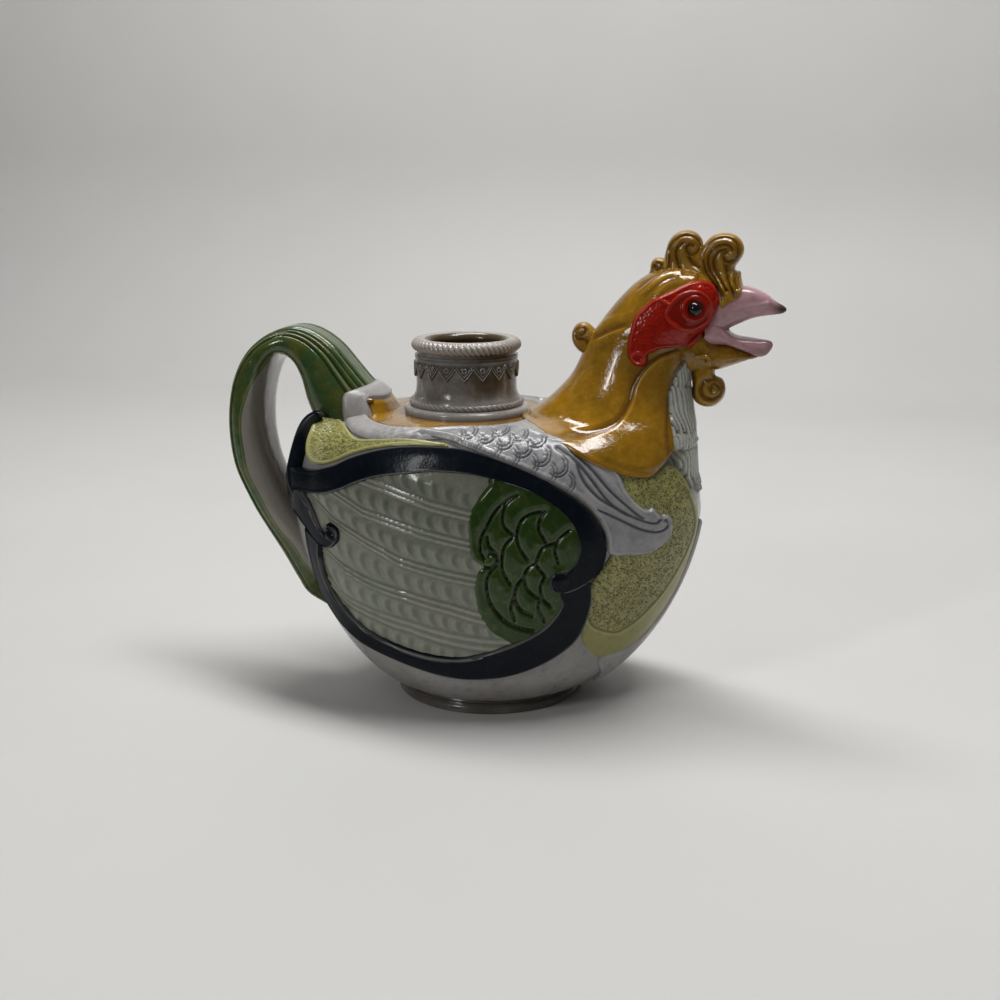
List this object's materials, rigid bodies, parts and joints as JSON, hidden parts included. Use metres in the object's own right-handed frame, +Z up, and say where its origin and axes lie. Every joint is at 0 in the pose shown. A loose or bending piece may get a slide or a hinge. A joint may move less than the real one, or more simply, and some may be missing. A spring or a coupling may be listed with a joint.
{
  "type": "rooster teapot",
  "caption": "Glazed ceramic jug in the form of a rooster: hollow body on a turned foot, open filler collar on the back, strap handle at the tail, neck and open beak as the spout.",
  "frame": {"origin": "middle of the whole pot's box, on the surface that the foot stands on", "axes": "+X towards the beak, +Y towards the bird's left, +Z up"},
  "size_m": [0.2692, 0.1308, 0.2299],
  "materials": {
    "grey_glaze": "glossy coloured glaze on fired earthenware",
    "lilac_glaze": "glossy coloured glaze on fired earthenware",
    "ochre_glaze": "glossy coloured glaze on fired earthenware",
    "green_glaze": "glossy coloured glaze on fired earthenware",
    "celadon_glaze": "glossy coloured glaze on fired earthenware",
    "navy_glaze": "glossy coloured glaze on fired earthenware",
    "moss_glaze": "glossy coloured glaze on fired earthenware",
    "red_glaze": "glossy coloured glaze on fired earthenware",
    "mauve_glaze": "glossy coloured glaze on fired earthenware",
    "black_glaze": "glossy coloured glaze on fired earthenware"
  },
  "bodies": {
    "root": {"back_border": "lilac_glaze", "beak_lower": "mauve_glaze", "beak_upper": "mauve_glaze", "bib_tier_bottom": "lilac_glaze", "bib_tier_middle": "lilac_glaze", "bib_tier_top": "lilac_glaze", "body_left": "grey_glaze", "body_right": "grey_glaze", "breast_keel": "lilac_glaze", "breast_panel_left": "moss_glaze", "breast_panel_right": "moss_glaze", "chin": "ochre_glaze", "collar_flange": "grey_glaze", "collar_rope_bead": "grey_glaze", "collar_rope_rim": "grey_glaze", "collar_scallop_band": "grey_glaze", "comb_curl_front": "ochre_glaze", "comb_curl_rear": "ochre_glaze", "comb_nub": "ochre_glaze", "eye_left": "black_glaze", "eye_right": "black_glaze", "eyelid_left": "red_glaze", "eyelid_right": "red_glaze", "face_patch_left": "red_glaze", "face_patch_right": "red_glaze", "filler_collar": "grey_glaze", "foot_ring": "grey_glaze", "handle_strap": "green_glaze", "nape_curl": "ochre_glaze", "neck_spout": "ochre_glaze", "saddle_panel": "ochre_glaze", "shoulder_scroll_left": "lilac_glaze", "shoulder_scroll_right": "lilac_glaze", "tail_panel_left": "moss_glaze", "tail_panel_right": "moss_glaze", "wattle_curl": "ochre_glaze", "wing_frame_left": "navy_glaze", "wing_frame_right": "navy_glaze", "wing_plate_left": "celadon_glaze", "wing_plate_right": "celadon_glaze", "wing_scales_left": "green_glaze", "wing_scales_right": "green_glaze"}
  },
  "joints": []
}
